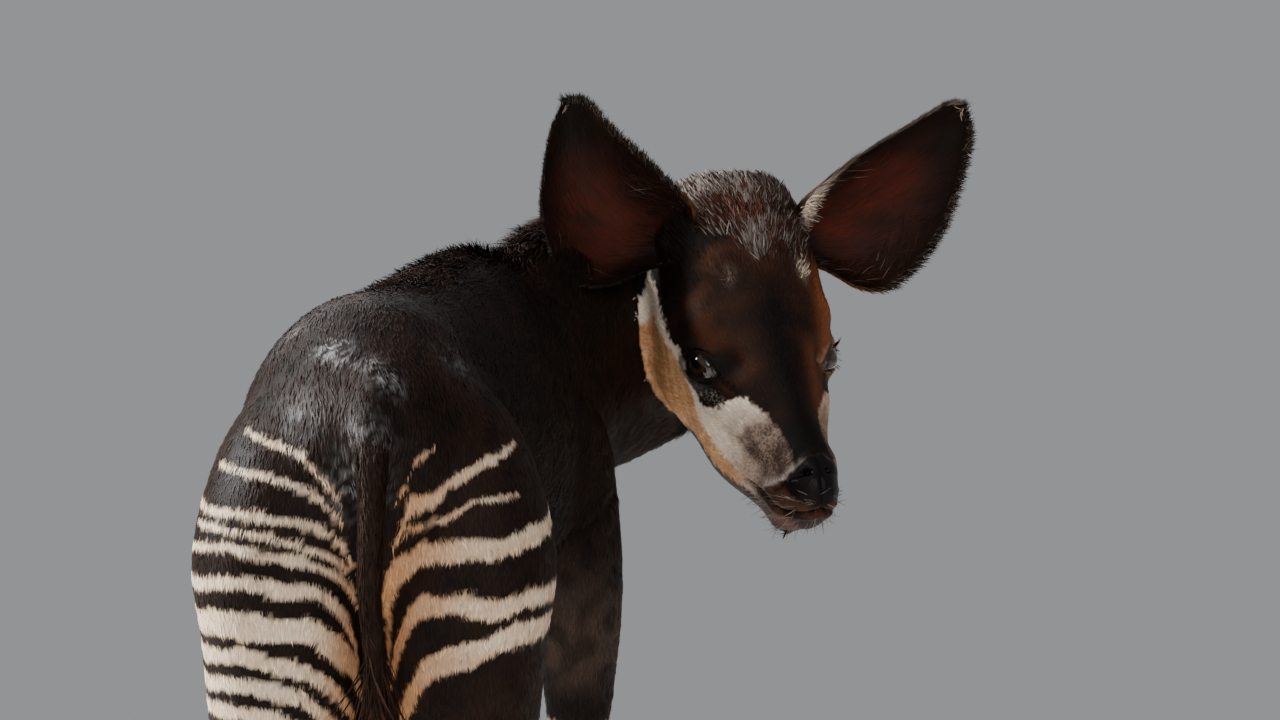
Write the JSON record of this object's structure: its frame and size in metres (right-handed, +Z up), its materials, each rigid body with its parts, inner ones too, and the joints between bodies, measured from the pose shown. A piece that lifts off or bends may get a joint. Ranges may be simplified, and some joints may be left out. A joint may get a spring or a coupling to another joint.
{
  "type": "okapi calf",
  "caption": "Life-size standing okapi calf, head turned back over its right flank, with striped haunches and large cupped ears, as a still museum model.",
  "frame": {"origin": "middle of the whole animal's footprint box, on the floor under the belly", "axes": "+Z up; the hindquarters head along +Y; the animal's right side faces +X"},
  "size_m": [0.6328, 0.7544, 0.9867],
  "materials": {
    "dark_coat": "short glossy near-black chocolate fur",
    "striped_coat": "dark fur with cream to tan stripes",
    "face_coat": "short brown fur, cream cheeks, black nose",
    "pale_coat": "short cream fur with dark bands",
    "ear_coat": "thin velvety dark fur, reddish skin inside",
    "hoof_horn": "dull dark horn with growth rings",
    "eye_gloss": "wet dark brown eye"
  },
  "bodies": {
    "root": {"ear_left": "ear_coat", "ear_right": "ear_coat", "eye_left": "eye_gloss", "eye_right": "eye_gloss", "fore_hoof_left_inner": "hoof_horn", "fore_hoof_left_outer": "hoof_horn", "fore_hoof_right_inner": "hoof_horn", "fore_hoof_right_outer": "hoof_horn", "fore_lower_left": "pale_coat", "fore_lower_right": "pale_coat", "fore_upper_left": "striped_coat", "fore_upper_right": "striped_coat", "head": "face_coat", "hind_hoof_left_inner": "hoof_horn", "hind_hoof_left_outer": "hoof_horn", "hind_hoof_right_inner": "hoof_horn", "hind_hoof_right_outer": "hoof_horn", "hind_shank_left": "pale_coat", "hind_shank_right": "pale_coat", "hind_thigh_left": "striped_coat", "hind_thigh_right": "striped_coat", "neck": "dark_coat", "tail": "dark_coat", "torso": "dark_coat"}
  },
  "joints": []
}
